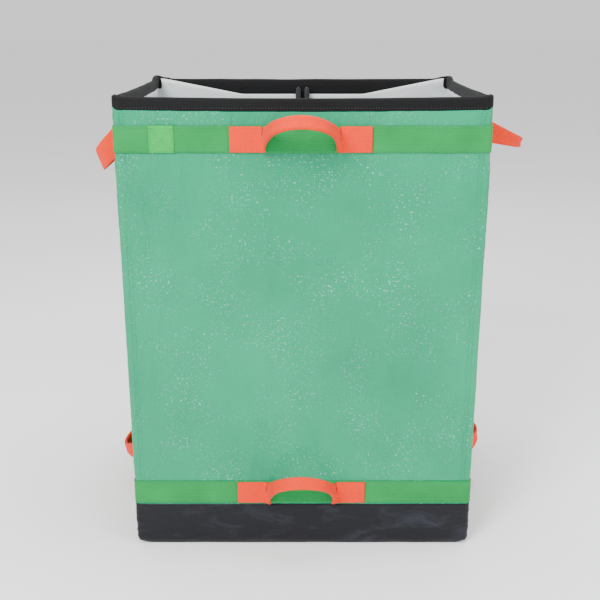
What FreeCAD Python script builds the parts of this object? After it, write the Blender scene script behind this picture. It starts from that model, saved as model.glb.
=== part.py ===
"""Collapsible storage crate: a tall woven-plastic crate of stiffened panels that folds flat.

Front is -Y, +X is the right-hand side seen from the front, +Z is up.
The origin is the middle of the footprint, on the surface that the crate stands on.
Each wall is a sandwich: woven skin outside, stiffening board, lining inside.
Each side wall is two halves that fold inwards along a vertical line at its middle.
The floor panel is hinged along the foot of the front wall and folds up against it.
"""
import FreeCAD, Part
import math
import os
import re

V = FreeCAD.Vector
doc = FreeCAD.newDocument("storage_crate")
sheet = doc.addObject("Spreadsheet::Sheet", "Sizes")

# Driving dimensions, in millimetres and degrees.
SIZES = [
    ("half_width", 225.0),  # outside, half the crate's width
    ("half_depth", 167.5),  # outside, half the crate's depth
    ("crate_height", 600.0),
    ("skin_thick", 1.5),
    ("board_thick", 2.5),
    ("lining_thick", 1.0),
    ("wall_thick", 5.0),  # skin, board and lining together
    ("hem_height", 16.0),  # the folded black tape along the top edge
    ("hem_proud", 1.0),
    ("skirt_height", 60.0),  # the black foot band of each wall
    ("wall_foot", 9.0),  # lower edge of the side and back walls, above the floor panel
    ("front_seam", -146.0),  # Y of the side walls' front hinge line
    ("rear_seam", 155.0),  # Y of the side walls' rear hinge line
    ("middle_fold", 4.5),  # Y of the side walls' middle fold line
    ("fold_out", 4.0),  # how far outside the skin the middle fold's axis lies
    ("seam_gap", 3.0),  # room between a hinge line and the stiff part of a side half
    ("fold_gap", 0.4),
    ("band_width", 32.0),  # webbing
    ("band_thick", 1.5),
    ("tab_thick", 2.0),
    ("tab_outer", 84.0),  # a handle's half length over its sewn tabs
    ("tab_inner", 44.0),
    ("top_band", 550.0),  # height of the middle of the upper webbing band
    ("low_band", 80.0),
    ("pivot_out", 12.5),  # a front or back handle's pivot line, outside the skin
    ("pivot_radius", 4.0),
    ("grip_width", 16.0),  # webbing folded in half along the grip
    ("grip_thick", 5.0),
    ("grip_reach", 50.0),
    ("floor_thick", 8.0),
    ("floor_skin", 1.5),
    ("floor_half", 218.5),
    ("floor_front", -160.5),
    ("floor_rear", 160.5),
    ("tilt_front", 27.0),  # how far above level a front or back grip stands
    ("reach_lt", 51.4),  # side grips: reach and tilt, left and right, upper and lower
    ("tilt_lt", -20.0),
    ("reach_rt", 74.0),
    ("tilt_rt", -18.0),
    ("reach_lb", 40.0),
    ("tilt_lb", -20.0),
    ("reach_rb", 42.0),
    ("tilt_rb", 6.0),
    ("side_out", 7.0),  # a side grip's root, outside the skin
    ("buckle_z", 576.0),
    ("buckle_y", 157.0),
]
VALUE = {}
for row, (alias, value) in enumerate(SIZES, 1):
    sheet.set("A%d" % row, alias)
    sheet.set("B%d" % row, repr(value))
    sheet.setAlias("B%d" % row, alias)
    VALUE[alias] = value
doc.recompute()

WORDS = re.compile(r"\b([a-z]+_[a-z_]+)\b")


def bound(text):
    """An expression over the sheet's aliases."""
    return WORDS.sub(lambda m: "Sizes." + m.group(1) if m.group(1) in VALUE else m.group(0), str(text))


def number(text):
    """The same expression's value, for placements that are set directly."""
    return float(plain_value(str(text)))


def plain_value(text):
    """Adds and subtracts plain terms of one alias or number each, with an optional factor or divisor."""
    total, sign = 0.0, 1.0
    for token in re.findall(r"[+-]|[^+-]+", text.replace(" ", "")):
        if token == "+":
            sign = 1.0
        elif token == "-":
            sign = -sign if sign < 0 else -1.0
        else:
            term, op = 1.0, "*"
            for piece in re.findall(r"[*/]|[^*/]+", token):
                if piece in "*/":
                    op = piece
                else:
                    x = VALUE[piece] if piece in VALUE else float(piece)
                    term = term * x if op == "*" else term / x
            total += sign * term
            sign = 1.0
    return total


nodes = []


def keep(obj, label):
    obj.Label = label
    nodes.append(obj)
    return obj


def box(name, x0, x1, y0, y1, z0, z1):
    """A block between two corners, each side bound to the sheet."""
    o = doc.addObject("Part::Box", name)
    o.Label = name
    o.setExpression("Length", bound("(%s) - (%s)" % (x1, x0)))
    o.setExpression("Width", bound("(%s) - (%s)" % (y1, y0)))
    o.setExpression("Height", bound("(%s) - (%s)" % (z1, z0)))
    o.setExpression("Placement.Base.x", bound(x0))
    o.setExpression("Placement.Base.y", bound(y0))
    o.setExpression("Placement.Base.z", bound(z0))
    return o


def group(name, parts):
    """Separate solids of one piece type in one node."""
    c = doc.addObject("Part::Compound", name)
    c.Links = parts
    return keep(c, name)


def fuse(name, parts):
    f = doc.addObject("Part::MultiFuse", name)
    f.Shapes = parts
    f.Refine = True
    return f


def cut(name, base, tool):
    c = doc.addObject("Part::Cut", name)
    c.Base, c.Tool = base, tool
    return c


def rod(name, radius, length, at, along):
    """A cylinder of a bound radius and length, from a point along a direction."""
    c = doc.addObject("Part::Cylinder", name)
    c.Label = name
    c.setExpression("Radius", bound(radius))
    c.setExpression("Height", bound(length))
    c.Placement = FreeCAD.Placement(at, FreeCAD.Rotation(V(0, 0, 1), along))
    return c


# ---------------------------------------------------------------- walls
HW, HD, TOP = "half_width", "half_depth", "crate_height"
SK, BT, LT, WT = "skin_thick", "board_thick", "lining_thick", "wall_thick"
HEM, PROUD, SKIRT, FOOT = "hem_height", "hem_proud", "skirt_height", "wall_foot"


def long_wall(name, side):
    """The front (side -1) or back (side 1) wall: full width, with narrow skin returns round its two corners to the hinge lines."""
    foot = "0" if side < 0 else FOOT
    seam = "front_seam" if side < 0 else "rear_seam"

    def span(inner, outer):
        """Y from a depth inside the outer face to another, in rising order."""
        if side < 0:
            return "-%s + %s" % (HD, outer), "-%s + %s" % (HD, inner)
        return "%s - (%s)" % (HD, inner), "%s - (%s)" % (HD, outer)

    a, b = span(SK + " + " + BT, SK)
    keep(box(name + "_board", "-%s + %s" % (HW, "seam_gap"), "%s - %s" % (HW, "seam_gap"), a, b, foot + " + 3", TOP + " - 3"), name + "_board")
    a, b = span(SK, "0")
    keep(box(name + "_skin", "-" + HW, HW, a, b, SKIRT, TOP + " - 3"), name + "_skin")
    a, b = span(WT, SK + " + " + BT)
    keep(box(name + "_lining", "-%s + %s" % (HW, "seam_gap"), "%s - %s" % (HW, "seam_gap"), a, b, foot + " + 3", TOP + " - 3"), name + "_lining")
    # returns round the corners: two narrow strips of skin up to the hinge lines
    inner = "-%s + %s" % (HD, WT) if side < 0 else "%s - %s" % (HD, WT)
    ya, yb = (inner, seam) if side < 0 else (seam, inner)
    group(
        name + "_returns",
        [
            box(name + "_return_l", "-" + HW, "-%s + %s" % (HW, SK), ya, yb, SKIRT, "%s - %s" % (TOP, HEM)),
            box(name + "_return_r", "%s - %s" % (HW, SK), HW, ya, yb, SKIRT, "%s - %s" % (TOP, HEM)),
        ],
    )
    # black foot band, and its own short returns
    a, b = span(SK, "0")
    group(
        name + "_skirt",
        [
            box(name + "_skirt_face", "-" + HW, HW, a, b, foot, SKIRT),
            box(name + "_skirt_l", "-" + HW, "-%s + %s" % (HW, SK), ya, yb, FOOT, SKIRT),
            box(name + "_skirt_r", "%s - %s" % (HW, SK), HW, ya, yb, FOOT, SKIRT),
        ],
    )
    # folded tape along the top edge: a channel over the wall, and one over each return
    oa, ob = ("-%s - %s" % (HD, PROUD), "-%s + %s + %s" % (HD, WT, PROUD)) if side < 0 else ("%s - %s - %s" % (HD, WT, PROUD), "%s + %s" % (HD, PROUD))
    ia, ib = ("-" + HD, "-%s + %s" % (HD, WT)) if side < 0 else ("%s - %s" % (HD, WT), HD)
    main = cut(
        name + "_hem_main",
        box(name + "_hem_o", "-" + HW, HW, oa, ob, "%s - %s" % (TOP, HEM), TOP),
        box(name + "_hem_i", "-%s - 1" % HW, "%s + 1" % HW, ia, ib, "%s - %s - 1" % (TOP, HEM), TOP + " - 3"),
    )
    parts = [main]
    ra, rb = ("-%s + %s + %s" % (HD, WT, PROUD), seam) if side < 0 else (seam, "%s - %s - %s" % (HD, WT, PROUD))
    for tag, lo, hi, li, hi2 in (
        ("l", "-%s - %s" % (HW, PROUD), "-%s + %s + %s" % (HW, SK, PROUD), "-" + HW, "-%s + %s" % (HW, SK)),
        ("r", "%s - %s - %s" % (HW, SK, PROUD), "%s + %s" % (HW, PROUD), "%s - %s" % (HW, SK), HW),
    ):
        parts.append(
            cut(
                name + "_hem_ret_" + tag,
                box(name + "_hem_ro_" + tag, lo, hi, ra, rb, "%s - %s" % (TOP, HEM), TOP),
                box(name + "_hem_ri_" + tag, li, hi2, ra + " - 1", rb + " + 1", "%s - %s - 1" % (TOP, HEM), TOP + " - 3"),
            )
        )
    group(name + "_hem", parts)
    # two webbing bands across the face
    sa, sb = ("-%s - band_thick" % HD, "-" + HD) if side < 0 else (HD, "%s + band_thick" % HD)
    group(
        name + "_bands",
        [
            box(name + "_band_top", "-%s + 2" % HW, "%s - 2" % HW, sa, sb, "top_band - band_width / 2", "top_band + band_width / 2"),
            box(name + "_band_low", "-%s + 2" % HW, "%s - 2" % HW, sa, sb, "low_band - band_width / 2", "low_band + band_width / 2"),
        ],
    )
    # the sewn tabs at both ends of both handles, each with a gathered root on the pivot line
    tabs = []
    y_tab = ("-%s - band_thick - tab_thick" % HD, "-%s - band_thick" % HD) if side < 0 else ("%s + band_thick" % HD, "%s + band_thick + tab_thick" % HD)
    y_root = ("-%s - pivot_out" % HD, "-%s - band_thick" % HD) if side < 0 else ("%s + band_thick" % HD, "%s + pivot_out" % HD)
    for level in ("top_band", "low_band"):
        for tag, s in (("l", -1), ("r", 1)):
            key = "%s_tab_%s_%s" % (name, level[:3], tag)
            x_out, x_in = ("-tab_outer", "-tab_inner") if s < 0 else ("tab_inner", "tab_outer")
            flat = box(key + "_flat", x_out, x_in, y_tab[0], y_tab[1], level + " - band_width / 2", level + " + band_width / 2")
            rx = ("-tab_inner - 18", "-tab_inner - 6.4") if s < 0 else ("tab_inner + 6.4", "tab_inner + 18")
            root = box(key + "_root", rx[0], rx[1], y_root[0], y_root[1], level + " - pivot_radius", level + " + pivot_radius")
            yp = side * (VALUE["half_depth"] + VALUE["pivot_out"])
            roll = rod(key + "_roll", "pivot_radius", "11.6", V(number(rx[0]), yp, VALUE[level]), V(1, 0, 0))
            tabs.append(fuse(key, [flat, root, roll]))
    group(name + "_handle_tabs", tabs)


def side_half(name, side, rear):
    """Half of a side wall: side -1 is left, and rear says which half it is."""
    if rear:
        y0, y1 = "middle_fold + fold_gap", "rear_seam - seam_gap"
    else:
        y0, y1 = "front_seam + seam_gap", "middle_fold - fold_gap"

    def span(inner, outer):
        if side < 0:
            return "-%s + %s" % (HW, outer), "-%s + %s" % (HW, inner)
        return "%s - (%s)" % (HW, inner), "%s - (%s)" % (HW, outer)

    a, b = span(SK + " + " + BT, SK)
    keep(box(name + "_board", a, b, y0, y1, FOOT + " + 3", TOP + " - 3"), name + "_board")
    a, b = span(SK, "0")
    keep(box(name + "_skin", a, b, y0, y1, SKIRT, TOP + " - 3"), name + "_skin")
    keep(box(name + "_skirt", a, b, y0, y1, FOOT, SKIRT), name + "_skirt")
    a, b = span(WT, SK + " + " + BT)
    keep(box(name + "_lining", a, b, y0, y1, FOOT + " + 3", TOP + " - 3"), name + "_lining")
    oa, ob = ("-%s - %s" % (HW, PROUD), "-%s + %s + %s" % (HW, WT, PROUD)) if side < 0 else ("%s - %s - %s" % (HW, WT, PROUD), "%s + %s" % (HW, PROUD))
    ia, ib = ("-" + HW, "-%s + %s" % (HW, WT)) if side < 0 else ("%s - %s" % (HW, WT), HW)
    keep(
        cut(
            name + "_hem",
            box(name + "_hem_o", oa, ob, y0, y1, "%s - %s" % (TOP, HEM), TOP),
            box(name + "_hem_i", ia, ib, y0 + " - 1", y1 + " + 1", "%s - %s - 1" % (TOP, HEM), TOP + " - 3"),
        ),
        name + "_hem",
    )
    sa, sb = ("-%s - band_thick" % HW, "-" + HW) if side < 0 else (HW, "%s + band_thick" % HW)
    group(
        name + "_bands",
        [
            box(name + "_band_top", sa, sb, y0, y1, "top_band - band_width / 2", "top_band + band_width / 2"),
            box(name + "_band_low", sa, sb, y0, y1, "low_band - band_width / 2", "low_band + band_width / 2"),
        ],
    )
    ta, tb = ("-%s - band_thick - tab_thick" % HW, "-%s - band_thick" % HW) if side < 0 else ("%s + band_thick" % HW, "%s + band_thick + tab_thick" % HW)
    ty = ("middle_fold + tab_inner", "middle_fold + tab_outer") if rear else ("middle_fold - tab_outer", "middle_fold - tab_inner")
    group(
        name + "_handle_tabs",
        [
            box(name + "_tab_top", ta, tb, ty[0], ty[1], "top_band - band_width / 2", "top_band + band_width / 2"),
            box(name + "_tab_low", ta, tb, ty[0], ty[1], "low_band - band_width / 2", "low_band + band_width / 2"),
        ],
    )
    # this half's share of the two grips that bridge the fold line
    grips = []
    for level, tag in (("top_band", "t"), ("low_band", "b")):
        which = ("l" if side < 0 else "r") + tag
        reach, tilt = "reach_" + which, VALUE["tilt_" + which]
        grips.append(half_grip("%s_grip_%s" % (name, tag), side, rear, level, reach, tilt))
    group(name + "_grips", grips)


def frame_at(u, v, w, at):
    m = FreeCAD.Matrix(u.x, v.x, w.x, at.x, u.y, v.y, w.y, at.y, u.z, v.z, w.z, at.z, 0, 0, 0, 1)
    return FreeCAD.Placement(m)


def arc_band(name, reach, u, v, root, start, sweep_text, shift=0.0):
    """A strip bent along a circular arc that stands out by reach over a chord of twice tab_inner.
    u runs along the chord, v outwards, root is the chord's middle; start is the arc's first angle from u, in degrees."""
    a, s = VALUE["tab_inner"], VALUE[reach]
    radius = (a * a + s * s) / (2 * s)
    w = u.cross(v)
    at = root + v * (s - radius) - w * (VALUE["grip_width"] / 2) + u * shift
    place = frame_at(u, v, w, at).multiply(FreeCAD.Placement(V(0, 0, 0), FreeCAD.Rotation(V(0, 0, 1), start)))
    made = []
    for tag, off in (("outer", "+"), ("inner", "-")):
        c = doc.addObject("Part::Cylinder", name + "_" + tag)
        c.Label = name + "_" + tag
        c.setExpression("Radius", bound("(tab_inner * tab_inner + %s * %s) / (2 * %s) %s grip_thick / 2" % (reach, reach, reach, off)))
        c.setExpression("Height", bound("grip_width"))
        if tag == "outer":
            c.setExpression("Angle", bound(sweep_text % (reach,)))
        c.Placement = place
        made.append(c)
    return cut(name, made[0], made[1])


def half_grip(name, side, rear, level, reach, tilt):
    t = math.radians(tilt)
    u = V(0, 1, 0)
    v = V(side * math.cos(t), 0, math.sin(t))
    root = V(side * (VALUE["half_width"] + VALUE["side_out"]), VALUE["middle_fold"], VALUE[level])
    alpha = math.degrees(2 * math.atan2(VALUE[reach], VALUE["tab_inner"]))
    start = 90 - alpha if rear else 90
    band = arc_band(name + "_arc", reach, u, v, root, start, "2 * atan(%s / tab_inner)", 0.3 if rear else -0.3)
    # the grip's root, down on to its sewn tab
    xa, xb = ("-%s - side_out - 2" % HW, "-%s - band_thick - tab_thick" % HW) if side < 0 else ("%s + band_thick + tab_thick" % HW, "%s + side_out + 2" % HW)
    ya, yb = ("middle_fold + tab_inner - 3", "middle_fold + tab_inner + 5") if rear else ("middle_fold - tab_inner - 5", "middle_fold - tab_inner + 3")
    foot = box(name + "_foot", xa, xb, ya, yb, level + " - grip_width / 2", level + " + grip_width / 2")
    return fuse(name, [band, foot])


def swing_handle(name, side, level):
    """A front or back grip with a round root at each end on its pivot line."""
    t = math.radians(VALUE["tilt_front"])
    u = V(-side, 0, 0)
    v = V(0, side * math.cos(t), math.sin(t))
    root = V(0, side * (VALUE["half_depth"] + VALUE["pivot_out"]), VALUE[level])
    alpha = math.degrees(2 * math.atan2(VALUE["grip_reach"], VALUE["tab_inner"]))
    band = arc_band(name + "_arc", "grip_reach", u, v, root, 90 - alpha, "4 * atan(%s / tab_inner)")
    left = rod(name + "_root_l", "pivot_radius", "8", V(-VALUE["tab_inner"] - 6, root.y, root.z), V(1, 0, 0))
    right = rod(name + "_root_r", "pivot_radius", "8", V(VALUE["tab_inner"] - 2, root.y, root.z), V(1, 0, 0))
    keep(fuse(name, [band, left, right]), name)


long_wall("front", -1)
long_wall("back", 1)
side_half("left_front", -1, False)
side_half("left_rear", -1, True)
side_half("right_front", 1, False)
side_half("right_rear", 1, True)
swing_handle("front_top_handle", -1, "top_band")
swing_handle("front_low_handle", -1, "low_band")
swing_handle("back_top_handle", 1, "top_band")
swing_handle("back_low_handle", 1, "low_band")

# ---------------------------------------------------------------- floor panel
# Black cover below and round the edge, stiff board inside, lining on top.
tray = cut(
    "floor_cover",
    box("floor_cover_o", "-floor_half", "floor_half", "floor_front", "floor_rear", "0", "floor_thick - 1"),
    box("floor_cover_i", "-floor_half + floor_skin", "floor_half - floor_skin", "floor_front + floor_skin", "floor_rear - floor_skin", "floor_skin", "floor_thick"),
)
keep(tray, "floor_cover")
keep(
    box("floor_board", "-floor_half + floor_skin", "floor_half - floor_skin", "floor_front + floor_skin", "floor_rear - floor_skin", "floor_skin", "floor_thick - 1"),
    "floor_board",
)
keep(box("floor_lining", "-floor_half", "floor_half", "floor_front", "floor_rear", "floor_thick - 1", "floor_thick"), "floor_lining")

# ---------------------------------------------------------------- closure buckle
# A webbing tab under the back hem ends in a sleeve; the buckle's cross bar turns in it.
patch = box("clip_patch", "-7", "7", "half_depth - wall_thick - 1.5", "half_depth - wall_thick", "buckle_z - 26", "buckle_z + 7")
neck = box("clip_neck", "-7", "7", "buckle_y", "half_depth - wall_thick - 1.5", "buckle_z - 1.2", "buckle_z + 1.2")
sleeve = rod("clip_sleeve", "3.2", "14", V(-7, VALUE["buckle_y"], VALUE["buckle_z"]), V(1, 0, 0))
bore = rod("clip_bore", "1.9", "16", V(-8, VALUE["buckle_y"], VALUE["buckle_z"]), V(1, 0, 0))
keep(cut("clip_tab", fuse("clip_tab_body", [patch, neck, sleeve]), bore), "clip_tab")

bar = rod("buckle_bar", "1.6", "20", V(-10, VALUE["buckle_y"], VALUE["buckle_z"]), V(1, 0, 0))
cheek_l = box("buckle_cheek_l", "-11", "-8", "buckle_y - 2.5", "buckle_y + 2.5", "buckle_z - 14", "buckle_z + 3")
cheek_r = box("buckle_cheek_r", "8", "11", "buckle_y - 2.5", "buckle_y + 2.5", "buckle_z - 14", "buckle_z + 3")
bridge = box("buckle_bridge", "-11", "11", "buckle_y - 2.5", "buckle_y + 2.5", "buckle_z - 20", "buckle_z - 6")
prong_l = box("buckle_prong_l", "-11", "-7.5", "buckle_y - 2", "buckle_y + 2", "buckle_z - 42", "buckle_z - 18")
prong_r = box("buckle_prong_r", "7.5", "11", "buckle_y - 2", "buckle_y + 2", "buckle_z - 42", "buckle_z - 18")
guide = box("buckle_guide", "-2", "2", "buckle_y - 1.5", "buckle_y + 1.5", "buckle_z - 36", "buckle_z - 18")
keep(fuse("closure_buckle", [bar, cheek_l, cheek_r, bridge, prong_l, prong_r, guide]), "closure_buckle")

doc.recompute()

bad = [o.Name for o in doc.Objects if "Invalid" in o.State or "Error" in o.State]
if bad:
    raise RuntimeError("objects failed: %s" % bad)
os.makedirs("parts", exist_ok=True)
for f in os.listdir("parts"):
    if f.endswith(".step"):
        os.remove(os.path.join("parts", f))
for o in nodes:
    s = o.Shape
    if s.isNull() or not s.isValid() or not s.Solids:
        raise RuntimeError("bad shape: " + o.Label)
    s.exportStep("parts/%s.step" % o.Label)
    b = s.BoundBox
    print("%-24s solids %2d  x %7.1f %7.1f  y %7.1f %7.1f  z %6.1f %6.1f  %9.1f mm3" % (o.Label, len(s.Solids), b.XMin, b.XMax, b.YMin, b.YMax, b.ZMin, b.ZMax, s.Volume))
print(len(nodes), "nodes")
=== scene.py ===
import math
import random

import bmesh
import bpy
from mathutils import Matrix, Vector, noise


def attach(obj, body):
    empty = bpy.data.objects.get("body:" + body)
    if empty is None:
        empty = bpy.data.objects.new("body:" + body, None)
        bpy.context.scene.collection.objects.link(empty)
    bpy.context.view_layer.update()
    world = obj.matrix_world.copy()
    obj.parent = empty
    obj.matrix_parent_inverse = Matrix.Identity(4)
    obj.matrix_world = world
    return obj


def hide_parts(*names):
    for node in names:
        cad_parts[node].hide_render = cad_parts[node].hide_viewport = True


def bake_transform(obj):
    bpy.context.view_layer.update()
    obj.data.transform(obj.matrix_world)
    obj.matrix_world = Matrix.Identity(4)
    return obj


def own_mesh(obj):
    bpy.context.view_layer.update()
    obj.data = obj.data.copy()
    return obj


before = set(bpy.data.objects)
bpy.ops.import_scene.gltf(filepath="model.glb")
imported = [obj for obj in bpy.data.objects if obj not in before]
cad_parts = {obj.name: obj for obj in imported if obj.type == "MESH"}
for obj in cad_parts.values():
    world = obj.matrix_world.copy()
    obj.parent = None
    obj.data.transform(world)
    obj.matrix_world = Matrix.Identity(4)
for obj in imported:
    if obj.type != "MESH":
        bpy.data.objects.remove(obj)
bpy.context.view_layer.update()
cad_objects = [o for o in bpy.data.objects if o.type == "MESH"]

random.seed(7)
MM = 0.001
HALF_W, HALF_D, TOP = 225.0, 167.5, 600.0
HINGE_F, MID, HINGE_R = -146.0, 4.5, 155.0
BANDS = ((534.0, 566.0), (64.0, 96.0))


def smooth(a, b, x):
    t = max(0.0, min(1.0, (x - a) / (b - a)))
    return t * t * (3 - 2 * t)


def lump(x, y, z=0.0):
    return noise.noise(Vector((x, y, z)))


def bell(x, w):
    return math.exp(-(x / w) ** 2)


# ---------------------------------------------------------------- materials

def linear(r, g, b):
    out = []
    for c in (r, g, b):
        c /= 255.0
        out.append(c / 12.92 if c <= 0.04045 else ((c + 0.055) / 1.055) ** 2.4)
    return out


class Shader:
    def __init__(self, name):
        self.mat = bpy.data.materials.new(name)
        self.mat.use_nodes = True
        self.nt = self.mat.node_tree
        self.nt.nodes.clear()
        out = self.nt.nodes.new("ShaderNodeOutputMaterial")
        self.bsdf = self.nt.nodes.new("ShaderNodeBsdfPrincipled")
        self.nt.links.new(self.bsdf.outputs["BSDF"], out.inputs["Surface"])
        self.normal = None

    def put(self, socket, value):
        if hasattr(value, "is_linked"):
            self.nt.links.new(value, socket)
        else:
            socket.default_value = value

    def coords(self, kind="UV"):
        return self.nt.nodes.new("ShaderNodeTexCoord").outputs[kind]

    def wave(self, co, axis, pitch, distortion=0.0, scale=1.0):
        n = self.nt.nodes.new("ShaderNodeTexWave")
        n.wave_type = "BANDS"
        n.bands_direction = axis
        n.wave_profile = "SIN"
        n.inputs["Scale"].default_value = 2 * math.pi / (20 * pitch)
        n.inputs["Distortion"].default_value = distortion
        n.inputs["Detail Scale"].default_value = scale
        self.put(n.inputs["Vector"], co)
        return n.outputs["Fac"]

    def noise(self, co, scale, detail=3.0, rough=0.5, distortion=0.0):
        n = self.nt.nodes.new("ShaderNodeTexNoise")
        n.inputs["Scale"].default_value = scale
        n.inputs["Detail"].default_value = detail
        n.inputs["Roughness"].default_value = rough
        n.inputs["Distortion"].default_value = distortion
        self.put(n.inputs["Vector"], co)
        return n.outputs["Fac"]

    def stretch(self, co, factors, turn=0.0):
        n = self.nt.nodes.new("ShaderNodeMapping")
        n.inputs["Scale"].default_value = factors
        n.inputs["Rotation"].default_value = (0, 0, turn)
        self.put(n.inputs["Vector"], co)
        return n.outputs["Vector"]

    def math(self, op, a, b=0.0):
        n = self.nt.nodes.new("ShaderNodeMath")
        n.operation = op
        self.put(n.inputs[0], a)
        self.put(n.inputs[1], b)
        return n.outputs[0]

    def band(self, value, lo, hi, to_lo=0.0, to_hi=1.0):
        n = self.nt.nodes.new("ShaderNodeMapRange")
        n.clamp = True
        self.put(n.inputs["Value"], value)
        n.inputs["From Min"].default_value = lo
        n.inputs["From Max"].default_value = hi
        n.inputs["To Min"].default_value = to_lo
        n.inputs["To Max"].default_value = to_hi
        return n.outputs["Result"]

    def mix(self, factor, a, b):
        n = self.nt.nodes.new("ShaderNodeMix")
        n.data_type = "RGBA"
        self.put(n.inputs[0], factor)
        for i, c in ((6, a), (7, b)):
            self.put(n.inputs[i], c if hasattr(c, "is_linked") else (c[0], c[1], c[2], 1.0))
        return n.outputs[2]

    def bump(self, height, strength, distance):
        n = self.nt.nodes.new("ShaderNodeBump")
        n.inputs["Strength"].default_value = strength
        n.inputs["Distance"].default_value = distance
        self.put(n.inputs["Height"], height)
        if self.normal is not None:
            self.put(n.inputs["Normal"], self.normal)
        self.normal = n.outputs["Normal"]

    def set(self, **values):
        for key, value in values.items():
            self.put(self.bsdf.inputs[key.replace("_", " ")], value)

    def done(self):
        if self.normal is not None:
            self.put(self.bsdf.inputs["Normal"], self.normal)
        return self.mat


def woven_skin():
    s = Shader("woven_skin_laminate")
    co = s.coords("UV")
    base, deep, pale = linear(0, 146, 102), linear(0, 116, 80), linear(22, 180, 138)
    wu, wv = s.wave(co, "X", 0.0030), s.wave(co, "Y", 0.0030)
    weave = s.math("MULTIPLY", wu, wv)
    big = s.noise(co, 6.0, 4.0, 0.55)
    crease = s.noise(s.stretch(co, (1.0, 0.45, 1.0), 0.5), 34.0, 5.0, 0.6, 0.8)
    colour = s.mix(s.band(big, 0.3, 0.7, 0.0, 0.6), base, deep)
    # woven pattern: the raised thread crossings are mixed towards the pale colour, partly the cloth's own weave
    # pattern, partly painted shade in the recesses between threads
    colour = s.mix(s.band(weave, 0.25, 1.0, 0.0, 0.22), colour, pale)
    speck = s.noise(co, 330.0, 2.0, 0.6)
    where = s.noise(co, 15.0, 3.0, 0.6)
    # painted highlight: small pale-white glint specks mixed into the base colour where both noises peak
    painted_glint = s.math("MULTIPLY", s.band(speck, 0.60, 0.72), s.band(where, 0.42, 0.66))
    colour = s.mix(s.math("MULTIPLY", painted_glint, 0.5), colour, linear(215, 255, 240))
    s.bump(crease, 0.9, 0.007)
    s.bump(s.noise(co, 120.0, 3.0, 0.6), 0.35, 0.0009)
    s.bump(weave, 0.45, 0.0004)
    s.set(Base_Color=colour, Roughness=s.band(speck, 0.3, 0.7, 0.24, 0.44),
          Specular_IOR_Level=0.2, Coat_Weight=0.14, Coat_Roughness=0.14)
    return s.done()


def webbing(name, base, deep, pale, rib=0.0021, rough=0.68, sheen=0.05):
    s = Shader(name)
    co = s.coords("UV")
    ribs = s.wave(co, "Y", rib)
    picks = s.wave(co, "X", 0.0016)
    cloth = s.math("MULTIPLY", ribs, picks)
    big = s.noise(co, 22.0, 3.0, 0.5)
    fuzz = s.noise(co, 700.0, 2.0, 0.6)
    colour = s.mix(s.band(big, 0.3, 0.7, 0.0, 0.5), base, deep)
    # raised ribs and picks mixed towards the pale colour: partly the webbing's own weave pattern, partly painted shade
    # in the recesses between them
    colour = s.mix(s.band(cloth, 0.1, 0.9, 0.0, 0.3), colour, pale)
    colour = s.mix(s.band(fuzz, 0.35, 0.75, 0.0, 0.14), colour, deep)
    s.bump(big, 0.25, 0.002)
    s.bump(ribs, 0.7, 0.0005)
    s.bump(s.math("ADD", picks, fuzz), 0.35, 0.0003)
    s.set(Base_Color=colour, Roughness=s.band(fuzz, 0.3, 0.7, rough - 0.08, rough + 0.1),
          Specular_IOR_Level=0.15, Sheen_Weight=sheen, Sheen_Roughness=0.5)
    return s.done()


def coated(name, base, pale, rough, scale=46.0, coat=0.2, pitch=0.0016, crease=0.5):
    s = Shader(name)
    co = s.coords("UV")
    cloth = s.math("MULTIPLY", s.wave(co, "X", pitch), s.wave(co, "Y", pitch))
    fold = s.noise(s.stretch(co, (0.45, 1.0, 1.0), 0.15), scale, 5.0, 0.6, 0.9)
    fine = s.noise(co, 480.0, 2.0, 0.5)
    # painted highlight: the fold ridges are mixed towards the pale colour
    colour = s.mix(s.band(fold, 0.52, 0.82, 0.0, 0.45), base, pale)
    # raised weave crossings mixed towards the pale colour: partly the cloth's own weave pattern, partly painted shade
    # in the recesses between threads
    colour = s.mix(s.band(cloth, 0.2, 1.0, 0.0, 0.12), colour, pale)
    s.bump(fold, crease, 0.003)
    s.bump(fine, 0.3, 0.0004)
    s.bump(cloth, 0.3, 0.0003)
    s.set(Base_Color=colour, Roughness=s.band(fine, 0.3, 0.7, rough - 0.07, rough + 0.09),
          Specular_IOR_Level=0.2, Coat_Weight=coat, Coat_Roughness=0.3)
    return s.done()


def solid_stock(name, base, pale, rough, kind="Object", scale=160.0):
    s = Shader(name)
    co = s.coords(kind)
    grain = s.noise(co, scale, 4.0, 0.6)
    fine = s.noise(co, scale * 6, 2.0, 0.5)
    s.bump(grain, 0.2, 0.0006)
    s.bump(fine, 0.25, 0.0002)
    s.set(Base_Color=s.mix(s.band(grain, 0.3, 0.75), base, pale),
          Roughness=s.band(fine, 0.3, 0.7, rough - 0.06, rough + 0.1), Specular_IOR_Level=0.45)
    return s.done()


M_SKIN = woven_skin()
# the third colour of each webbing is the lighter colour of its raised ribs: partly weave pattern, partly painted shade
# in the recesses
M_BAND = webbing("band_webbing_green", linear(12, 142, 66), linear(6, 108, 46), linear(42, 172, 96))
M_PATCH = webbing("band_webbing_bright", linear(16, 172, 66), linear(10, 138, 50), linear(60, 202, 110))
M_GRIP = webbing("handle_webbing_orange", linear(240, 48, 4), linear(200, 30, 2), linear(255, 92, 30), 0.0024)
M_HEM = webbing("hem_tape_black", linear(9, 9, 11), linear(5, 5, 6), linear(30, 30, 34), 0.0018, 0.6, 0.02)
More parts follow.
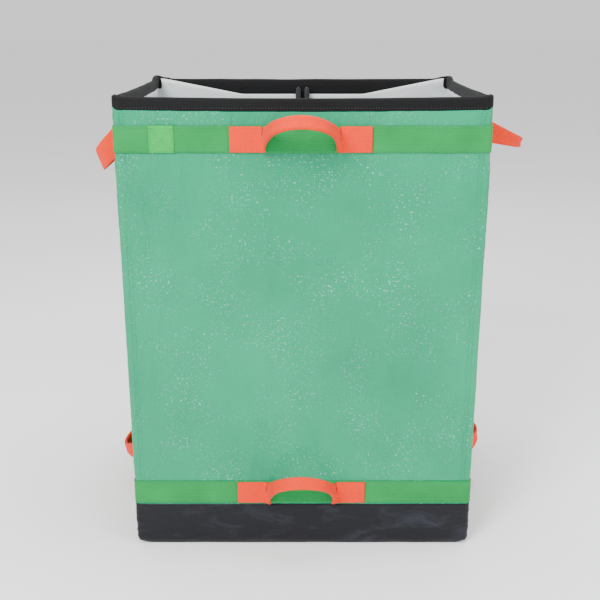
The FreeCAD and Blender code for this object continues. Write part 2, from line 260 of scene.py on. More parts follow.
# the second colour given to coated() is the painted highlight colour of the fold ridges, also the lighter colour of
# the raised weave crossings
M_FOOT = coated("foot_fabric_black", linear(12, 12, 18), linear(62, 64, 78), 0.42, 40.0, 0.05)
M_LINING = coated("lining_grey_white", linear(198, 203, 204), linear(236, 240, 240), 0.46, 30.0, 0.1, 0.002, 0.6)
M_BOARD = solid_stock("panel_board", linear(176, 176, 170), linear(206, 206, 200), 0.7)
M_BUCKLE = solid_stock("buckle_plastic_black", linear(18, 18, 20), linear(34, 34, 38), 0.36, "Object", 400.0)
M_THREAD_G = solid_stock("thread_green", linear(20, 120, 84), linear(44, 160, 116), 0.6, "Object", 900.0)
M_THREAD_O = solid_stock("thread_orange", linear(206, 52, 16), linear(240, 92, 44), 0.6, "Object", 900.0)
M_THREAD_K = solid_stock("thread_black", linear(30, 30, 33), linear(64, 64, 70), 0.6, "Object", 900.0)
M_FLOOR = solid_stock("studio_floor", linear(248, 248, 248), linear(252, 252, 252), 0.85, "Object", 3.0)


# ---------------------------------------------------------------- mesh tools

def make(name, verts, faces, uvs, mat, flat_from=None):
    me = bpy.data.meshes.new(name)
    me.from_pydata([tuple(v) for v in verts], [], faces)
    layer = me.uv_layers.new(name="UVMap")
    loops = me.loops
    for i, poly in enumerate(me.polygons):
        poly.use_smooth = flat_from is None or i < flat_from
        for li in poly.loop_indices:
            layer.data[li].uv = uvs[loops[li].vertex_index]
    bm = bmesh.new()
    bm.from_mesh(me)
    bmesh.ops.recalc_face_normals(bm, faces=bm.faces)
    bm.to_mesh(me)
    bm.free()
    me.materials.append(mat)
    me.update()
    obj = bpy.data.objects.new(name, me)
    bpy.context.scene.collection.objects.link(obj)
    return obj


def slab(name, us, zs, surface, thick, mat):
    """A sheet with real thickness: surface(u, z) gives its face and outward direction."""
    nu, nz = len(us), len(zs)
    outer, inner, uvs = [], [], []
    for z in zs:
        for u in us:
            p, n = surface(u, z)
            outer.append(p * MM)
            inner.append((p - n * thick) * MM)
            uvs.append((u * MM, z * MM))
    k = nu * nz
    faces = []
    for j in range(nz - 1):
        for i in range(nu - 1):
            a = j * nu + i
            faces.append((a, a + 1, a + nu + 1, a + nu))
            faces.append((k + a, k + a + nu, k + a + nu + 1, k + a + 1))
    rim = len(faces)
    for i in range(nu - 1):
        t = (nz - 1) * nu + i
        faces.append((i, k + i, k + i + 1, i + 1))
        faces.append((t, t + 1, k + t + 1, k + t))
    for j in range(nz - 1):
        a = j * nu
        b = a + nu - 1
        faces.append((a, a + nu, k + a + nu, k + a))
        faces.append((b, k + b, k + b + nu, b + nu))
    return make(name, outer + inner, faces, uvs + uvs, mat, rim)


def spline(rows, steps):
    if steps == 1:
        return [list(r) for r in rows]
    out = []
    for i in range(len(rows) - 1):
        r0, r1 = rows[max(i - 1, 0)], rows[i]
        r2, r3 = rows[i + 1], rows[min(i + 2, len(rows) - 1)]
        for k in range(steps):
            t = k / steps
            out.append([0.5 * (2 * b + (c - a) * t + (2 * a - 5 * b + 4 * c - d) * t * t
                               + (3 * b - a - 3 * c + d) * t ** 3)
                        for a, b, c, d in zip(r0, r1, r2, r3)])
    out.append(list(rows[-1]))
    return out


def sweep(name, rows, mat, sides=20, power=4.0, steps=8):
    """Webbing or tape along a path. A row is x, y, z, width direction, width, thickness, groove."""
    pts = spline(rows, steps)
    centre = [Vector(p[0:3]) for p in pts]
    verts, uvs, faces = [], [], []
    run = 0.0
    for i, p in enumerate(pts):
        a, b = centre[max(i - 1, 0)], centre[min(i + 1, len(pts) - 1)]
        if i:
            run += (centre[i] - centre[i - 1]).length
        t = (b - a).normalized()
        d = Vector(p[3:6])
        d = (d - t * d.dot(t)).normalized()
        n = t.cross(d)
        w, th, groove = p[6], p[7], p[8]
        around = 0.0
        last = None
        for k in range(sides):
            ang = 2 * math.pi * (k + 0.5) / sides
            c, s = math.cos(ang), math.sin(ang)
            x = w / 2 * math.copysign(abs(c) ** (2 / power), c)
            y = th / 2 * math.copysign(abs(s) ** (2 / power), s)
            if y > 0:
                y -= groove * bell(x, 0.2 * w)
            q = centre[i] + d * x + n * y
            if last is not None:
                around += (q - last).length
            last = q
            verts.append(q * MM)
            uvs.append((run * MM, around * MM))
    m = sides
    for i in range(len(pts) - 1):
        for k in range(m):
            a, b = i * m + k, i * m + (k + 1) % m
            faces.append((a, b, b + m, a + m))
    sides_end = len(faces)
    faces.append(tuple(range(m - 1, -1, -1)))
    faces.append(tuple(range((len(pts) - 1) * m, len(pts) * m)))
    obj = make(name, verts, faces, uvs, mat, sides_end)
    return obj, run


def stitches(name, lines, mat, body, pitch=3.6, length=2.5, r=0.42):
    """Rows of thread: each line is two ends and the direction the cloth faces."""
    verts, faces, uvs = [], [], []
    for p0, p1, face in lines:
        p0, p1, face = Vector(p0), Vector(p1), Vector(face).normalized()
        span = p1 - p0
        count = max(1, int(span.length / pitch))
        t = span.normalized()
        side = t.cross(face)
        for i in range(count):
            c = p0 + span * ((i + 0.5) / count) + side * random.uniform(-0.12, 0.12)
            h = length / 2 * random.uniform(0.9, 1.05)
            base = len(verts)
            for q in (c - t * h - face * 0.25, c + side * r, c + face * r, c - side * r,
                      c - face * r, c + t * h - face * 0.25):
                verts.append(q * MM)
                uvs.append((0.0, 0.0))
            for a, b in ((1, 2), (2, 3), (3, 4), (4, 1)):
                faces.append((base, base + b, base + a))
                faces.append((base + 5, base + a, base + b))
    obj = make(name, verts, faces, uvs, mat)
    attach(obj, body)
    return obj


def plate(name, pts, lo, hi, mat, axis="Z", bevel=0.8, segments=3):
    """A closed plate from an outline, its edges rounded over."""
    bm = bmesh.new()
    if axis == "Z":
        ring = [bm.verts.new((x * MM, y * MM, lo * MM)) for x, y in pts]
        move = Vector((0, 0, (hi - lo) * MM))
    else:
        ring = [bm.verts.new((x * MM, lo * MM, z * MM)) for x, z in pts]
        move = Vector((0, (hi - lo) * MM, 0))
    face = bm.faces.new(ring)
    out = bmesh.ops.extrude_face_region(bm, geom=[face])
    bmesh.ops.translate(bm, vec=move, verts=[v for v in out["geom"] if isinstance(v, bmesh.types.BMVert)])
    bmesh.ops.recalc_face_normals(bm, faces=bm.faces)
    bmesh.ops.bevel(bm, geom=[e for e in bm.edges if len(e.link_faces) == 2
                              and e.link_faces[0].normal.angle(e.link_faces[1].normal, 0) > 1.0],
                    offset=bevel * MM, segments=segments, profile=0.5, affect="EDGES")
    me = bpy.data.meshes.new(name)
    uv = bm.loops.layers.uv.new("UVMap")
    for f in bm.faces:
        f.smooth = True
        for loop in f.loops:
            co = loop.vert.co
            loop[uv].uv = (co.x, co.y if axis == "Z" else co.z)
    bm.to_mesh(me)
    bm.free()
    me.materials.append(mat)
    obj = bpy.data.objects.new(name, me)
    bpy.context.scene.collection.objects.link(obj)
    return obj


def declare(obj, flat):
    area = sum(p.area for p in obj.data.polygons) / 2
    share = area / (flat[0] * flat[1])
    print("SHEET %s %.3f x %.3f share %.2f" % (obj.name, flat[0], flat[1], share))
    if 0.71 < share < 1.58:
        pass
    else:
        print("NOT DECLARED %s" % obj.name)


def spread(lo, hi, step, extra=()):
    n = max(1, int(round((hi - lo) / step)))
    vals = sorted(set([round(lo + (hi - lo) * i / n, 4) for i in range(n + 1)] + list(extra)))
    keep = [vals[0]]
    for v in vals[1:]:
        if v - keep[-1] > 0.25:
            keep.append(v)
    return keep


# ---------------------------------------------------------------- outlines

def outline(s, hw, hd, ret, r):
    """The front wall's outline seen from above, from one corner return to the other."""
    a, arc, b = ret - r, math.pi * r / 2, 2 * (hw - r)
    if s <= a:
        return Vector((-hw, -(hd - ret) - s, 0)), Vector((-1, 0, 0))
    s -= a
    if s <= arc:
        t = s / r
        n = Vector((-math.cos(t), -math.sin(t), 0))
        return Vector((-(hw - r), -(hd - r), 0)) + n * r, n
    s -= arc
    if s <= b:
        return Vector((-(hw - r) + s, -hd, 0)), Vector((0, -1, 0))
    s -= b
    if s <= arc:
        t = s / r
        n = Vector((math.sin(t), -math.cos(t), 0))
        return Vector((hw - r, -(hd - r), 0)) + n * r, n
    s -= arc
    return Vector((hw, -(hd - r) + s, 0)), Vector((1, 0, 0))


def outline_length(hw, hd, ret, r):
    return 2 * (ret - r) + math.pi * r + 2 * (hw - r)


def outline_steps(hw, hd, ret, r, step):
    a, arc, b = ret - r, math.pi * r / 2, 2 * (hw - r)
    vals = spread(0, a, step) + [a + arc * k / 4 for k in range(1, 4)]
    vals += spread(a + arc, a + arc + b, step) + [a + arc + b + arc * k / 4 for k in range(1, 4)]
    vals += spread(a + 2 * arc + b, 2 * a + 2 * arc + b, step)
    return vals


def wall(name, side, zs, offset, thick, mat, step, hw=HALF_W, hd=HALF_D, ret=None, r=4.5,
         inward=False, lift=None):
    """A sheet round the front (side -1) or back (side 1) wall with its corner returns."""
    if ret is None:
        ret = HALF_D + HINGE_F if side < 0 else HALF_D - HINGE_R

    def surface(s, z):
        p, n = outline(s, hw, hd, ret, r)
        off = offset(p.x, z, s)
        pos = Vector((p.x + n.x * off, p.y + n.y * off, z if lift is None else lift(p.x, z, s)))
        nrm = -n if inward else n
        if side > 0:
            pos.x, pos.y = -pos.x, -pos.y
            nrm = Vector((-nrm.x, -nrm.y, 0))
        return pos, nrm

    return slab(name, outline_steps(hw, hd, ret, r, step), zs, surface, thick, mat)


def side_sheet(name, sx, zs, offset, thick, mat, step, x=HALF_W, y0=HINGE_F + 0.4, y1=HINGE_R - 0.4,
               inward=False, lift=None):
    ys = spread(y0, y1, step, [MID - 8 + 1.4 * k for k in range(13)])

    def surface(y, z):
        off = offset(y, z)
        return (Vector((sx * (x + off), y, z if lift is None else lift(y, z))),
                Vector((-sx if inward else sx, 0, 0)))

    obj = slab(name, ys, zs, surface, thick, mat)
    hang(obj)
    return obj


def hang(obj):
    """A side sheet is sewn to both halves; here its transform is only baked into its mesh."""
    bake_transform(obj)


def pressed(z):
    """How free the skin is at a height: 0 under tape, webbing and foot, 1 between them."""
    d = min([max(lo - z, z - hi, 0.0) for lo, hi in BANDS] + [max(z - 62, 0.0), max(586 - z, 0.0)])
    return smooth(0, 20, d)


def crinkle(u, z, seed):
    U, Z = u * MM, z * MM
    w1, w2 = lump(U * 9, Z * 7, seed), lump(U * 9 + 3.1, Z * 7 + 1.7, seed + 5)
    soft = lump(U * 5, Z * 4, seed + 2)
    diag = 1 - abs(lump((U + 0.3 * Z) * 22 + w1 * 1.3, (Z - 0.15 * U) * 8 + w2, seed + 9)) * 3.4
    fine = 1 - abs(lump(U * 50 + w2 * 1.6, Z * 38 + w1 * 1.6, seed + 13)) * 3.4
    upper = 0.35 + 0.65 * smooth(0.34, 0.56, Z)
    return 0.5 + 0.4 * soft + upper * (1.0 * max(0.0, diag) ** 2 + 0.55 * max(0.0, fine) ** 2)


# ---------------------------------------------------------------- walls

Z_SKIN = (57.0, 588.0)
front_steps, far_steps = 3.0, 5.0


def skin_offset(seed, corner):
    def offset(x, z, s):
        free = pressed(z)
        seam = abs(x) - 214.0
        free *= 1 - 0.7 * bell(seam, 7.0)
        edge = smooth(0, 12, min(s, corner - s))
        return free * edge * crinkle(x, z, seed) + 0.35 * bell(abs(seam) - 3.4, 1.3) * pressed(z) \
            - 0.3 * bell(seam, 1.5)
    return offset


walls = {}
for side, word in ((-1, "front"), (1, "back")):
    body = word + "_wall"
    ret = HALF_D + HINGE_F if side < 0 else HALF_D - HINGE_R
    length = outline_length(HALF_W, HALF_D, ret, 4.5)
    step = front_steps if side < 0 else far_steps
    o = wall(word + "_skin_sheet", side, spread(Z_SKIN[0], Z_SKIN[1], step),
             skin_offset(3.0 + side, length), 0.8, M_SKIN, step)
    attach(o, body)
    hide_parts(word + "_skin", word + "_returns")
    declare(o, (length * MM, (Z_SKIN[1] - Z_SKIN[0]) * MM))

    # foot band, tucked under at the floor and rounded at its lower corners
    foot_lo = 0.4 if side < 0 else 9.3

    def foot_lift(x, z, s, top=61.5):
        zb = foot_lo + (2.4 * smooth(196, 225, abs(x)) ** 2 + 0.6 * lump(x * 0.02, 1.0) if side < 0 else 0.0)
        zt = top + 0.7 * lump(x * 0.015, 4.0)
        return zb + (z / top) * (zt - zb)

    def foot_off(x, z, s, seed=side):
        tuck = (3.4 if seed < 0 else 1.2) * max(0.0, 1 - z / 9.0) ** 2
        ridge = max(0.0, 1 - abs(lump(x * 0.02, z * 0.07, seed + 21)) * 3.4) ** 2
        ridge += 0.7 * max(0.0, 1 - abs(lump(x * 0.05, z * 0.03, seed + 25)) * 3.4) ** 2
        return 0.9 - tuck + 0.8 * ridge * smooth(2, 14, z) * smooth(61, 50, z)

    o = wall(word + "_foot_sheet", side, spread(0, 61.5, 2.4, (1.2, 3.6)), foot_off, 1.0, M_FOOT, 3.0,
             lift=foot_lift)
    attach(o, body)
    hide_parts(word + "_skirt")
    declare(o, (length * MM, 0.063 if side < 0 else 0.053))

    # webbing bands
    bands = []
    for b, (lo, hi) in enumerate(BANDS):
        def band_lift(x, z, s, lo=lo, hi=hi, b=b):
            return z + 0.5 * lump(x * 0.012, 7.0 + b + side) + 0.25 * lump(x * 0.06, z * 0.1, b)

        def band_off(x, z, s, b=b):
            return 1.5 + 0.35 * lump(x * 0.018, z * 0.05, b + 31)

        o = wall(word + ("_top_band" if b == 0 else "_low_band"), side, spread(lo, hi, 2.6), band_off,
                 1.25, M_BAND, 3.2, lift=band_lift)
        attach(o, body)
        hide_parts(word + "_bands")
        declare(o, (length * MM, 0.032))
        bands.append(o)

    # lining: the inside face, standing off the boards a little
    rin = 3.0
    hw_in, hd_in = 222.7, 162.5
    ret_in = ret - 5.0

    def line_off(x, z, s, side=side):
        Z = z * MM
        wave = 0.5 + 0.5 * lump(x * 0.012, z * 0.008, 40 + side)
        ridge = max(0.0, 1 - abs(lump(x * 0.03, z * 0.012, 44 + side)) * 3.4) ** 2
        off = 0.2 + 0.45 * wave + 0.35 * ridge
        off *= smooth(0, 14, abs(x)) * 0.9 + 0.1
        if side > 0:
            near = smooth(60, 205, abs(x))
            rise = smooth(560, 582, z)
            off = off * (1 - rise) + rise * (0.3 + 1.1 * smooth(12, 40, abs(x)) + 0.9 * near
                                             + 0.5 * near * lump(x * 0.05, z * 0.05, 9))
        return -off if abs(x) < hw_in - 4 else -0.2

    def line_lift(x, z, s, side=side):
        if side < 0 or z < 560:
            return z
        rise = 23.0 * max(0.0, min(1.0, (abs(x) - 92) / 118.0))
        return 560 + (z - 560) * (17.0 + rise) / 26.0

    o = wall(word + "_lining_sheet", side, spread(3.2 if side < 0 else 12.2, 586, 7.0, [562, 566, 570, 574, 578, 582]),
             line_off, 0.8, M_LINING, 6.0, hw=hw_in, hd=hd_in, ret=ret_in, r=rin, inward=True,
             lift=line_lift)
    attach(o, body)
    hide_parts(word + "_lining")
    declare(o, (outline_length(hw_in, hd_in, ret_in, rin) * MM, 0.583))

    # hem tape folded over the rim
    hw_h, hd_h, ret_h = 222.5, 165.0, ret - 2.5
    rows = []
    for s in outline_steps(hw_h, hd_h, ret_h, 4.5, 4.0):
        p, n = outline(s, hw_h, hd_h, ret_h, 4.5)
        x, y = p.x, p.y
        if side > 0:
            x, y = -x, -y
        puff = smooth(196, 220, abs(x)) if side > 0 else 0.35 * smooth(208, 222, abs(x))
        sag = (2.3 if side < 0 else 0.8) * max(0.0, 1 - (x / 225.0) ** 2)
        wob = 0.5 * lump(x * 0.02, 11 + side)
        crush = 2.0 * puff * lump(x * 0.11, y * 0.11, 17)
        height = 17.0 + 2.5 * puff + (6.5 * (1 - smooth(80, 190, abs(x))) if side > 0 else 0.0)
        zc = 600 - height / 2 - sag + wob + 4.0 * puff + crush
        zc = min(zc, 600 - height / 2 + 7.0 * puff)
        turn = abs(n.x) ** 6
        x += math.copysign(1.7, x) * turn
        thick = 6.8 + 3.2 * puff + 0.7 * lump(x * 0.04, 13)
        rows.append((x, y, zc, 0, 0, 1, height, thick * (1 - turn) + 3.6 * turn, 0.0))
    o, run = sweep(word + "_hem_tape", rows, M_HEM, sides=18, power=3.2, steps=1)
    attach(o, body)
    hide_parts(word + "_hem")
    declare(o, (run * MM, 0.028))

    # seams
    face = (0, side, 0)
    yb, yh, yf, ys_ = side * 169.25, side * 168.75, side * 168.95, side * 168.15
    lines = []
    for lo, hi in BANDS:
        for z in (lo + 2.2, hi - 2.2):
            lines.append(((-220, yb, z), (220, yb, z), face))
    for sx in (-1, 1):
        for dx in (211.6, 216.4):
            lines.append(((sx * dx, ys_, 98), (sx * dx, ys_, 532), face))
            lines.append(((sx * dx, ys_, 567), (sx * dx, ys_, 582), face))
    o = stitches(word + "_thread", lines, M_THREAD_G, body)
    lines = [((-219, yh, 586.6), (219, yh, 586.6), face), ((-219, yf, 57.6), (219, yf, 57.6), face)]
    o = stitches(word + "_dark_thread", lines, M_THREAD_K, body)

    # corner piping on the side seams
    hinge = HINGE_F if side < 0 else HINGE_R
    for sx, hand in ((-1, "left"), (1, "right")):
        rows = [(sx * 225.1, hinge + 0.25 * lump(z * 0.03, sx * 3.0), z, 0, 1, 0, 3.0, 2.6, 0.0)
                for z in spread(62, 585, 12)]
        o, run = sweep("%s_%s_piping" % (word, hand), rows, M_SKIN, sides=10, power=2.0, steps=2)
        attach(o, body)

for sx, hand in ((-1, "left"), (1, "right")):
    halves = (hand + "_front_", hand + "_rear_")

    def crease(y, depth=0.5):
        return depth * bell(y - MID, 2.2)

    def side_off(y, z, sx=sx):
        free = pressed(z) * smooth(0, 9, min(y - HINGE_F, HINGE_R - y))
        return free * 0.85 * crinkle(y, z, 60.0 + 7 * sx) - crease(y) * 0.6

    o = side_sheet(hand + "_skin_sheet", sx, spread(57, 588, 5.0), side_off, 0.8, M_SKIN, 5.0)
    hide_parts(*[h + "skin" for h in halves])
    declare(o, (0.3002, 0.531))

    def skirt_off(y, z, sx=sx):
        ridge = max(0.0, 1 - abs(lump(y * 0.03, z * 0.07, 70 + sx)) * 3.4) ** 2
        tuck = 1.6 * max(0.0, 1 - (z - 7.6) / 7.0) ** 2
        return 0.9 + 0.6 * ridge * smooth(10, 20, z) * smooth(61, 50, z) - tuck - crease(y) * 0.5

    o = side_sheet(hand + "_skirt_sheet", sx, spread(9.2, 61.5, 2.8), skirt_off, 1.0, M_FOOT, 5.0)
    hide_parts(*[h + "skirt" for h in halves])
    declare(o, (0.3002, 0.0523))

    for b, (lo, hi) in enumerate(BANDS):
        def side_band_off(y, z, b=b):
            return 1.5 + 0.25 * lump(y * 0.02, z * 0.05, 50 + b) - crease(y) * 0.4

        def side_band_lift(y, z, b=b):
            return z + 0.4 * lump(y * 0.015, 5.0 + b + sx)

        o = side_sheet(hand + ("_top_band" if b == 0 else "_low_band"), sx, spread(lo, hi, 2.8),
                       side_band_off, 1.25, M_BAND, 4.0, y0=HINGE_F + 2.5, y1=HINGE_R - 2.5,
                       lift=side_band_lift)
        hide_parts(*[h + "bands" for h in halves])
        declare(o, (0.296, 0.032))

    def side_line_off(y, z, sx=sx):
        wave = 0.5 + 0.5 * lump(y * 0.012, z * 0.008, 80 + sx)
        ridge = max(0.0, 1 - abs(lump(y * 0.03, z * 0.012, 84 + sx)) * 3.4) ** 2
        return -(0.1 + 0.35 * wave + 0.25 * ridge) * smooth(0, 12, min(y - HINGE_F, HINGE_R - y))

    o = side_sheet(hand + "_lining_sheet", sx, spread(12.2, 585, 8.0), side_line_off, 0.8, M_LINING,
                   6.0, x=220.0, y0=HINGE_F + 3.2, y1=HINGE_R - 3.2, inward=True)
    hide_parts(*[h + "lining" for h in halves])
    declare(o, (0.3002, 0.5728))

    rows = []
    for y in spread(HINGE_F + 1.6, HINGE_R - 1.6, 4.0, [MID - 8 + 1.6 * k for k in range(11)]):
        puff = smooth(128, 153, y)
        sag = 1.6 * max(0.0, 1 - ((y - MID) / 150.0) ** 2)
        rows.append((sx * 222.5, y, 600 - 8.5 - sag + 0.5 * lump(y * 0.02, 3 * sx) + 3.6 * puff, 0, 0, 1,
                     17.0 + 1.5 * puff, 6.8 + 2.4 * puff, 0.0))
    o, run = sweep(hand + "_hem_tape", rows, M_HEM, sides=18, power=3.2, steps=1)
    hang(o)
    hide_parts(*[h + "hem" for h in halves])
    declare(o, (run * MM, 0.028))

    for part, ya, yb_ in (("front", HINGE_F + 6, -8.0), ("rear", 17.0, HINGE_R - 6)):
        lines = []
        for lo, hi in BANDS:
            for z in (lo + 2.2, hi - 2.2):
                lines.append(((sx * 226.75, ya, z), (sx * 226.75, yb_, z), (sx, 0, 0)))
        o = stitches("%s_%s_thread" % (hand, part), lines, M_THREAD_G, "%s_%s_half" % (hand, part))
        lines = [((sx * 226.2, ya, 586.6), (sx * 226.2, yb_, 586.6), (sx, 0, 0)),
                 ((sx * 226.1, ya, 57.6), (sx * 226.1, yb_, 57.6), (sx, 0, 0))]
        o = stitches("%s_%s_dark_thread" % (hand, part), lines, M_THREAD_K, "%s_%s_half" % (hand, part))


# ---------------------------------------------------------------- overlap of the top band

def patch_surface(x, z):
    return (Vector((x, -(HALF_D + 2.5 + 0.2 * lump(x * 0.1, z * 0.1, 2)), z + 0.4 * lump(x * 0.05, 8.0))),
            Vector((0, -1, 0)))


o = slab("band_overlap", spread(-183, -153, 2.5), spread(534.2, 566.4, 2.6), patch_surface, 1.1, M_PATCH)
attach(o, "front_wall")
declare(o, (0.030, 0.0322))
o = stitches("band_overlap_thread",
             [((-180.5, -170.2, 536), (-180.5, -170.2, 564), (0, -1, 0)),
              ((-155.5, -170.2, 536), (-155.5, -170.2, 564), (0, -1, 0)),
              ((-180.5, -170.2, 536.6), (-155.5, -170.2, 563.4), (0, -1, 0)),
              ((-180.5, -170.2, 563.4), (-155.5, -170.2, 536.6), (0, -1, 0))],
             M_THREAD_G, "front_wall", 3.0, 2.2, 0.45)


# ---------------------------------------------------------------- handles

ARC = ((-87, 1.1, 31, 1.9, 0.0), (-68, 1.1, 31, 1.9, 0.0), (-52, 1.2, 31, 2.0, 0.0),
       (-47, 3.6, 30, 2.4, 0.0), (-45, 11, 26, 3.4, 0.3), (-41, 22, 20, 5.0, 1.2),
       (-33, 38, 16.5, 6.2, 1.8), (-19, 50, 16, 6.5, 2.0), (-4, 54.5, 16, 6.5, 2.0),
       (12, 52, 15.5, 6.2, 2.0), (26, 43, 14.5, 6.0, 1.8), (36, 29, 14.5, 5.6, 1.4),
       (40.5, 17, 18, 4.6, 0.8), (42, 10, 24, 3.4, 0.3), (44, 3.6, 30, 2.4, 0.0),
       (49, 1.2, 31, 2.0, 0.0), (66, 1.1, 31, 1.9, 0.0), (83, 1.1, 31, 1.9, 0.0))
for side, word in ((-1, "front"), (1, "back")):
    for level, z0, tilt in (("top", 550.0, 27.0), ("low", 80.0, 42.0)):
        t = math.radians(tilt)
        rows = []
        for i, (x, out, w, th, g) in enumerate(ARC):
            r = max(0.0, out - 3.6) / math.cos(math.radians(27.0))
            rise = smooth(0, 16, r)
            yo = min(out, 3.6) + r * math.cos(t)
            wob = 0.8 * lump(x * 0.07, z0, side) * rise
            rows.append((x, side * (169 + yo), z0 + r * math.sin(t) + wob,
                         0.05 * rise, -side * math.sin(t) * rise, 1 - rise + math.cos(t) * rise, w, th, g))
        name = "%s_%s" % (word, level)
        o, run = sweep(name + "_strap", rows, M_GRIP, sides=24, power=4.5, steps=8)
        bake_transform(o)
        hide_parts(name + "_handle", word + "_handle_tabs")
        declare(o, (run * MM, 0.032))
        y = side * 171.1
        lines = []
        for xa, xb in ((-84.5, -51.5), (48.5, 80.5)):
            for z in (z0 - 12.8, z0 + 12.8):
                lines.append(((xa, y, z), (xb, y, z), (0, side, 0)))
            for x in (xa, xb):
                lines.append(((x, y, z0 - 12.8), (x, y, z0 + 12.8), (0, side, 0)))
            lines.append(((xa, y, z0 - 12), (xb, y, z0 + 12), (0, side, 0)))
            lines.append(((xa, y, z0 + 12), (xb, y, z0 - 12), (0, side, 0)))
        o = stitches(name + "_strap_thread", lines, M_THREAD_O, word + "_wall", 3.0, 2.2, 0.42)

HALF_ARC = ((-48, 1.5), (-46, 3.6), (-44.5, 10), (-41, 21), (-32, 36), (-18, 47), (-5, 51), (0.2, 51.2))
SIDE = {
    ("left", "top"): (550.0, 70.0, -45.0, 0.36, (31, 31, 31, 30, 30, 29, 29, 29), 2.6),
    ("right", "top"): (550.0, 73.0, -20.0, 0.25, (31, 31, 29, 25, 19, 15, 14, 14), 6.2),
    ("left", "low"): (80.0, 40.0, -20.0, 0.2, (31, 31, 30, 27, 22, 18, 17, 17), 5.0),
    ("right", "low"): (80.0, 34.0, 13.0, -0.1, (31, 31, 30, 27, 22, 18, 17, 17), 5.0),
}
for (hand, level), (z0, reach, tilt, lean, widths, thick) in SIDE.items():
    sx = -1 if hand == "left" else 1
    t = math.radians(tilt)
    for part, sy in (("front", 1), ("rear", -1)):
        body = "%s_%s_half" % (hand, part)
        rows = []
        for i, (s, out) in enumerate(HALF_ARC):
            r = max(0.0, out - 3.6) / 47.6 * reach
            rise = smooth(0, 20, r)
            w = widths[i]
            th = 2.0 + (thick - 2.0) * rise
            g = 0.28 * th * rise if thick > 4 else 0.0
            rows.append((sx * (226.5 + min(out, 3.6) + r * math.cos(t)), MID + sy * s,
                         z0 + r * math.sin(t) + 0.6 * rise * lump(s * 0.08, z0),
                         sx * lean * rise, 0, 1.0, w, th, g))
        name = "%s_%s_%s" % (hand, part, level)
        o, run = sweep(name + "_grip_strap", rows, M_GRIP, sides=22, power=4.5, steps=8)
        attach(o, body)
        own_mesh(o)
        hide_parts("%s_%s_grips" % (hand, part))
        declare(o, (run * MM, 0.032))
        ya, yb_ = MID - sy * 46.5, MID - sy * 84.0
        rows = [(sx * 227.6, ya + (yb_ - ya) * k / 4, z0, 0, 0, 1, 31, 1.9, 0.0) for k in range(5)]
        o, run = sweep(name + "_tab_strap", rows, M_GRIP, sides=24, power=6.0, steps=3)
        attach(o, body)
        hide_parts("%s_%s_handle_tabs" % (hand, part))
        declare(o, (run * MM, 0.032))
        x = sx * 228.65
        a, b = ya - sy * 4, yb_ + sy * 3
        lines = [((x, a, z0 - 12.8), (x, b, z0 - 12.8), (sx, 0, 0)),
                 ((x, a, z0 + 12.8), (x, b, z0 + 12.8), (sx, 0, 0)),
                 ((x, a, z0 - 12.8), (x, a, z0 + 12.8), (sx, 0, 0)),
                 ((x, b, z0 - 12.8), (x, b, z0 + 12.8), (sx, 0, 0)),
                 ((x, a, z0 - 12), (x, b, z0 + 12), (sx, 0, 0)),
                 ((x, a, z0 + 12), (x, b, z0 - 12), (sx, 0, 0))]
        o = stitches(name + "_tab_thread", lines, M_THREAD_O, body, 3.0, 2.2, 0.42)


# ---------------------------------------------------------------- floor panel

def rounded(x0, x1, y0, y1, r, n=8):
    pts = []
    for cx, cy, a0 in ((x1 - r, y1 - r, 0), (x0 + r, y1 - r, 90), (x0 + r, y0 + r, 180), (x1 - r, y0 + r, 270)):
        for k in range(n + 1):
            a = math.radians(a0 + 90 * k / n)
            pts.append((cx + r * math.cos(a), cy + r * math.sin(a)))
    return pts


o = plate("floor_cover_sheet", rounded(-222.5, 222.5, -161.5, 166.0, 10.0), 0.0, 7.9, M_FOOT, "Z", 2.2, 3)
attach(o, "floor_panel")
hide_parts("floor_cover")
declare(o, (0.452, 0.336))


def floor_surface(x, y):
    edge = smooth(0, 12, min(217.5 - abs(x), 159.5 - abs(y)))
    ridge = max(0.0, 1 - abs(lump(x * 0.02, y * 0.02, 91)) * 3.4) ** 2
    return (Vector((x, y, 8.1 + edge * (0.1 + 0.1 * lump(x * 0.01, y * 0.01, 90) + 0.15 * ridge))),
            Vector((0, 0, 1)))


o = slab("floor_lining_sheet", spread(-217.5, 217.5, 6.0), spread(-159.5, 159.5, 6.0), floor_surface, 0.8,
         M_LINING)
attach(o, "floor_panel")
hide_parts("floor_lining")
declare(o, (0.435, 0.319))


# ---------------------------------------------------------------- closure

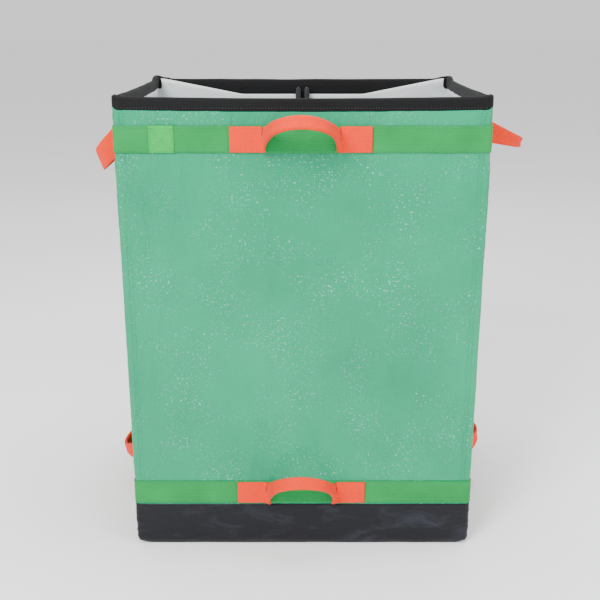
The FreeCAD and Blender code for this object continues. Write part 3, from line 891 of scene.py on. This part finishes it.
prong = [(-10.5, 536), (10.5, 536), (10.5, 558), (10.0, 566), (10.9, 577), (9.4, 586), (6.4, 588.5),
         (3.3, 585.5), (2.5, 577), (3.5, 566), (2.8, 560), (-2.8, 560), (-3.5, 566), (-2.5, 577),
         (-3.3, 585.5), (-6.4, 588.5), (-9.4, 586), (-10.9, 577), (-10.0, 566), (-10.5, 558)]
o = plate("buckle_prongs", prong, 152.6, 157.0, M_BUCKLE, "Y", 0.9, 3)
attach(o, "buckle")
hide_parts("closure_buckle")
rows = [(0, 161.0, 583, 1, 0, 0, 14, 1.5, 0), (0, 160.8, 572, 1, 0, 0, 14, 1.5, 0),
        (0, 160.7, 560, 1, 0, 0, 14, 1.5, 0), (0, 160.7, 550, 1, 0, 0, 14, 1.5, 0)]
o, run = sweep("clip_strap", rows, M_HEM, sides=18, power=5.0, steps=4)
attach(o, "back_wall")
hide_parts("clip_tab")
declare(o, (run * MM, 0.015))

# boards stay as they are, between skin and lining
for obj in cad_objects:
    for slot in obj.material_slots:
        slot.link = "OBJECT"
        slot.material = M_BOARD


# ---------------------------------------------------------------- studio

me = bpy.data.meshes.new("studio_floor")
me.from_pydata([(-30, -30, 0), (30, -30, 0), (30, 30, 0), (-30, 30, 0)], [], [(0, 1, 2, 3)])
me.materials.append(M_FLOOR)
floor = bpy.data.objects.new("studio_floor", me)
bpy.context.scene.collection.objects.link(floor)


def area_light(name, at, target, size, power):
    data = bpy.data.lights.new(name, "AREA")
    data.shape = "SQUARE"
    data.size = size
    data.energy = power
    obj = bpy.data.objects.new(name, data)
    obj.location = at
    obj.rotation_euler = (Vector(target) - Vector(at)).to_track_quat("-Z", "Y").to_euler()
    bpy.context.scene.collection.objects.link(obj)


area_light("key", (-1.1, -1.9, 1.9), (0, 0, 0.35), 0.9, 84)
area_light("top", (0.2, 0.1, 2.4), (0, 0, 0.4), 1.4, 44)
area_light("fill", (2.0, -1.5, 0.9), (0, 0, 0.3), 1.2, 26)
world = bpy.data.worlds.new("studio")
bpy.context.scene.world = world
world.use_nodes = True
back = world.node_tree.nodes.get("Background")
back.inputs["Color"].default_value = (1.0, 1.0, 1.0, 1.0)
back.inputs["Strength"].default_value = 1.05

cam = bpy.data.cameras.new("camera")
cam.lens = 54.0
cam.sensor_width = 36.0
cam.shift_x = -0.0043
cam_obj = bpy.data.objects.new("camera", cam)
cam_obj.location = (0.0, -1.246, 0.687)
cam_obj.rotation_euler = (math.pi / 2 - 0.303, 0.0, 0.0)
bpy.context.scene.collection.objects.link(cam_obj)
bpy.context.scene.camera = cam_obj
